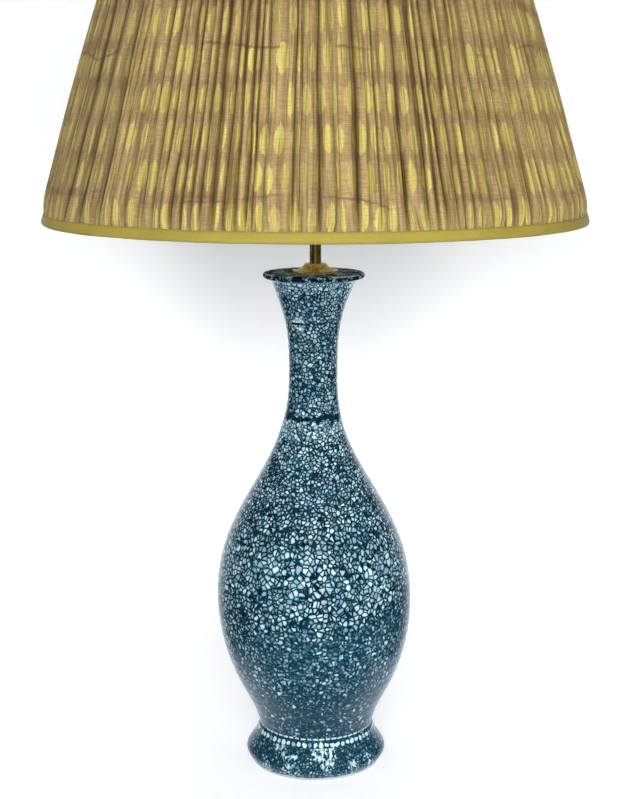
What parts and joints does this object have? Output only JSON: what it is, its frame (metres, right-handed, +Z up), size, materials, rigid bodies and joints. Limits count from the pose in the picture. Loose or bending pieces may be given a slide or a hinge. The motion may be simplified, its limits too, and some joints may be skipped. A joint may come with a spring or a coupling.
{
  "type": "table lamp",
  "caption": "Table lamp: glazed baluster vase with flared neck and foot, brass cap and stem, turn-knob lampholder, wire harp and gathered silk empire shade.",
  "frame": {"origin": "middle of the vase's foot ring, on the surface that it stands on", "axes": "+Z up along the lamp's axis; -Y is the front, seen in the picture; +Y is the back, with the cable outlet; +X is the right"},
  "size_m": [0.4587, 0.4588, 0.7648],
  "materials": {
    "glazed_stoneware": "gloss crackle glaze over a bare foot ring",
    "black_rubber": "matt",
    "green_baize": "felted",
    "zinc_steel": "zinc plated",
    "lamp_brass": "satin",
    "aged_brass": "antique bronze",
    "cork": "cork sheet",
    "insulating_fibre": "waxed fibre",
    "black_phenolic": "moulded",
    "black_glass": "gloss",
    "bulb_metal": "bright",
    "clear_glass": "clear",
    "filament_yellow": "phosphor coated",
    "patterned_silk": "gathered silk with resist-dyed lozenges",
    "lining_cloth": "plain",
    "trim_silk": "bias band",
    "coated_wire": "white coated"
  },
  "bodies": {
    "base": {"vase": "glazed_stoneware", "cable_bush": "black_rubber", "base_baize": "green_baize", "base_seal": "black_rubber", "base_washer": "zinc_steel", "base_nut": "lamp_brass", "stem_rod": "aged_brass", "rim_seal": "cork", "vase_cap": "lamp_brass", "saddle_nut": "lamp_brass", "harp_saddle": "lamp_brass", "holder_cap": "lamp_brass", "set_screw": "zinc_steel", "holder_shell": "lamp_brass", "holder_sleeve": "insulating_fibre", "switch_block": "black_phenolic", "terminal_screws": "lamp_brass", "screw_shell": "lamp_brass", "centre_contact": "lamp_brass"},
    "switch": {"switch_spindle": "zinc_steel", "switch_knob": "black_phenolic"},
    "bulb": {"bulb_contact": "zinc_steel", "bulb_insulator": "black_glass", "bulb_cap": "bulb_metal", "bulb_envelope": "clear_glass", "filament_carrier": "clear_glass", "filaments": "filament_yellow"},
    "harp": {"harp_bow": "lamp_brass", "harp_stud": "lamp_brass"},
    "left_ferrule": {"ferrule_left": "lamp_brass"},
    "right_ferrule": {"ferrule_right": "lamp_brass"},
    "shade": {"shade_cover": "patterned_silk", "shade_lining": "lining_cloth", "bottom_trim": "trim_silk", "top_trim": "trim_silk", "shade_bottom_ring": "coated_wire", "shade_top_ring": "coated_wire", "shade_struts": "coated_wire", "spider_arms": "lamp_brass", "washer_ring": "lamp_brass"},
    "finial": {"finial": "lamp_brass"}
  },
  "joints": [
    {"name": "switch_turn", "type": "hinge", "parent": "base", "child": "switch", "pos_m": [0, -0.02, 0.4986], "axis": [0, -1, 0], "continuous": true},
    {"name": "bulb_turn", "type": "hinge", "parent": "base", "child": "bulb", "pos_m": [0, 0, 0.52], "axis": [0, 0, 1], "continuous": true},
    {"name": "harp_lift", "type": "slide", "parent": "base", "child": "harp", "axis": [0, 0, 1], "range_m": [0, 0.025]},
    {"name": "left_ferrule_slide", "type": "slide", "parent": "harp", "child": "left_ferrule", "axis": [0, 0, 1], "range_m": [0, 0.018]},
    {"name": "right_ferrule_slide", "type": "slide", "parent": "harp", "child": "right_ferrule", "axis": [0, 0, 1], "range_m": [0, 0.018]},
    {"name": "shade_swivel", "type": "hinge", "parent": "harp", "child": "shade", "pos_m": [0, 0, 0.731], "axis": [0, 0, 1], "continuous": true},
    {"name": "finial_turn", "type": "hinge", "parent": "harp", "child": "finial", "pos_m": [0, 0, 0.74], "axis": [0, 0, 1], "continuous": true}
  ]
}
